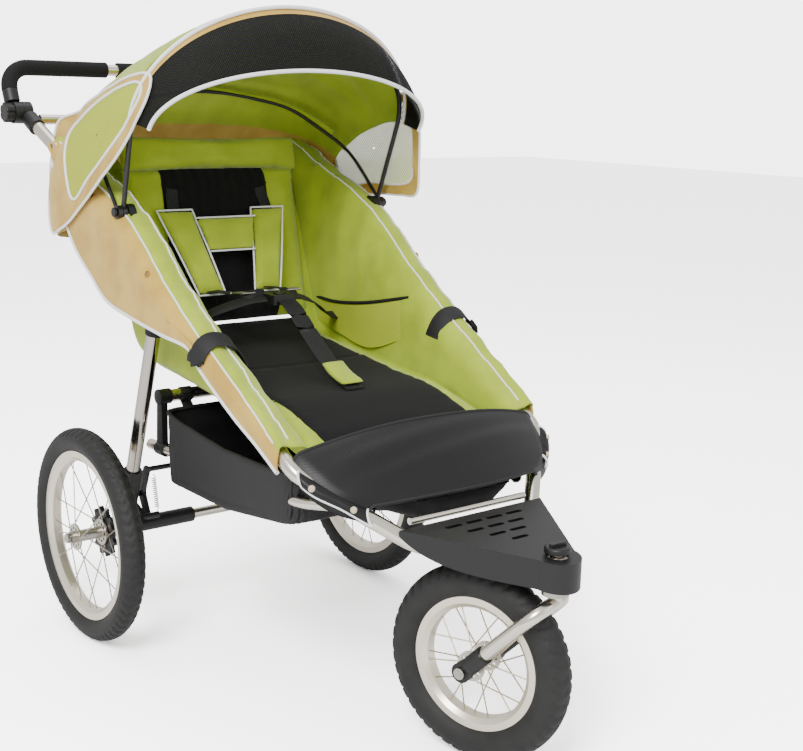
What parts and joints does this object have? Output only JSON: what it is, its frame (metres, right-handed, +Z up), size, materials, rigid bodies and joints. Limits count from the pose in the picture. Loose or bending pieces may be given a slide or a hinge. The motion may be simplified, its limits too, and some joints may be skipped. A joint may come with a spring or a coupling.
{
  "type": "jogging stroller",
  "caption": "Three-wheeled jogging stroller with a padded fabric seat, folding canopy with mesh visor, swivelling front wheel, parking brake and tilting foam handlebar.",
  "frame": {"origin": "on the ground, at the middle of the stroller's footprint", "axes": "+Z up, the child faces -Y, +Y towards the handlebar, X across"},
  "size_m": [0.732, 1.3019, 1.1623],
  "materials": {
    "polished_tube": "satin polished tube, slightly warm",
    "black_plastic": "moulded, fine texture",
    "steel_hardware": "zinc plated",
    "hub_alloy": "turned",
    "rim_alloy": "satin silver",
    "tyre_rubber": "pneumatic tyre, treaded",
    "foam_grip": "soft foam",
    "painted_black": "black powder coat",
    "lime_fabric": "woven polyester",
    "tan_fabric": "woven polyester",
    "black_fabric": "woven polyester",
    "black_mesh": "fine open mesh",
    "black_vinyl": "textured coated fabric",
    "black_webbing": "ribbed webbing"
  },
  "bodies": {
    "frame": {"left_rail": "polished_tube", "right_rail": "polished_tube", "footplate": "black_plastic", "steering_head": "steel_hardware", "footplate_bar": "polished_tube", "handle_cross_tube": "polished_tube", "hinge_bases": "black_plastic", "canopy_hubs": "black_plastic", "leg_brackets": "black_plastic", "leg_pivot_pins": "steel_hardware", "left_side_bar": "polished_tube", "right_side_bar": "polished_tube", "rear_cross_tube": "polished_tube", "cross_tube_ends": "black_plastic", "canopy": "lime_fabric", "seat_base": "black_fabric", "left_side_panel": "tan_fabric", "right_side_panel": "tan_fabric", "foot_cover": "black_vinyl", "foot_well": "black_fabric", "basket": "black_fabric", "buckle": "black_plastic", "harness_straps": "black_webbing"},
    "rear_frame": {"left_leg": "polished_tube", "right_leg": "polished_tube", "axle_corners": "black_plastic", "axle_tube": "polished_tube", "wheel_pins": "steel_hardware", "brake_springs": "steel_hardware"},
    "brake": {"brake_bar": "painted_black"},
    "left_wheel": {"left_tyre": "tyre_rubber", "left_rim": "rim_alloy", "left_spokes": "steel_hardware", "left_wheel_hub": "hub_alloy", "left_brake_disc": "black_plastic"},
    "right_wheel": {"right_tyre": "tyre_rubber", "right_rim": "rim_alloy", "right_spokes": "steel_hardware", "right_wheel_hub": "hub_alloy", "right_brake_disc": "black_plastic"},
    "fork": {"fork_tube": "polished_tube", "fork_ends": "black_plastic", "front_axle": "steel_hardware"},
    "front_wheel": {"front_tyre": "tyre_rubber", "front_rim": "rim_alloy", "front_spokes": "steel_hardware", "front_wheel_hub": "hub_alloy"},
    "swivel_lock": {"swivel_knob": "black_plastic"},
    "handlebar": {"handlebar_tube": "polished_tube", "handle_grips": "foam_grip", "hinge_rotors": "black_plastic"},
    "left_hand_knob": {"left_knob": "black_plastic"},
    "right_hand_knob": {"right_knob": "black_plastic"},
    "front_canopy_bow": {"front_bow": "black_plastic", "visor": "black_mesh"},
    "middle_canopy_bow": {"middle_bow": "black_plastic"},
    "seat_back": {"seat_back": "black_fabric", "headrest": "lime_fabric", "harness_pads": "lime_fabric"},
    "buckle_release": {"buckle_button": "black_plastic"}
  },
  "joints": [
    {"name": "frame_fold", "type": "hinge", "parent": "frame", "child": "rear_frame", "pos_m": [0, 0.12603, 0.672], "axis": [-1, 0, 0], "range_deg": [0, 48], "deforming": ["basket"]},
    {"name": "brake_press", "type": "hinge", "parent": "rear_frame", "child": "brake", "pos_m": [0, 0.2574, 0.268], "axis": [1, 0, 0], "range_deg": [0, 15], "deforming": ["brake_springs"]},
    {"name": "left_wheel_spin", "type": "hinge", "parent": "rear_frame", "child": "left_wheel", "pos_m": [-0.322, 0.2774, 0.2], "axis": [-1, 0, 0], "continuous": true},
    {"name": "right_wheel_spin", "type": "hinge", "parent": "rear_frame", "child": "right_wheel", "pos_m": [0.322, 0.2774, 0.2], "axis": [-1, 0, 0], "continuous": true},
    {"name": "fork_swivel", "type": "hinge", "parent": "frame", "child": "fork", "pos_m": [0, -0.6146, 0.33], "axis": [0, 0, 1], "continuous": true},
    {"name": "front_wheel_spin", "type": "hinge", "parent": "fork", "child": "front_wheel", "pos_m": [-0.03655, -0.49506, 0.158], "axis": [-0.9563, -0.2924, 0], "continuous": true},
    {"name": "swivel_lock_turn", "type": "hinge", "parent": "frame", "child": "swivel_lock", "pos_m": [0, -0.6146, 0.37], "axis": [0, 0, 1], "range_deg": [0, 90]},
    {"name": "handle_tilt", "type": "hinge", "parent": "frame", "child": "handlebar", "pos_m": [0, 0.5954, 0.962], "axis": [1, 0, 0], "range_deg": [-40, 25]},
    {"name": "left_knob_turn", "type": "hinge", "parent": "frame", "child": "left_hand_knob", "pos_m": [-0.3, 0.5954, 0.962], "axis": [-1, 0, 0], "range_deg": [0, 360]},
    {"name": "right_knob_turn", "type": "hinge", "parent": "frame", "child": "right_hand_knob", "pos_m": [0.3, 0.5954, 0.962], "axis": [1, 0, 0], "range_deg": [0, 360]},
    {"name": "canopy_fold", "type": "hinge", "parent": "frame", "child": "front_canopy_bow", "pos_m": [0, 0.1994, 0.803], "axis": [-1, 0, 0], "range_deg": [0, 55], "deforming": ["canopy"]},
    {"name": "middle_bow_fold", "type": "hinge", "parent": "frame", "child": "middle_canopy_bow", "pos_m": [0, 0.1994, 0.803], "axis": [-1, 0, 0], "range_deg": [0, 11]},
    {"name": "seat_recline", "type": "hinge", "parent": "frame", "child": "seat_back", "pos_m": [0, 0.3014, 0.566], "axis": [-1, 0, 0], "range_deg": [0, 24]},
    {"name": "button_press", "type": "slide", "parent": "frame", "child": "buckle_release", "axis": [0, 0, -1], "range_m": [0, 0.003], "stiffness_N_per_m": 400}
  ],
  "couplings": [
    {"joint": "middle_bow_fold", "follows": "canopy_fold", "ratio": 0.2}
  ]
}
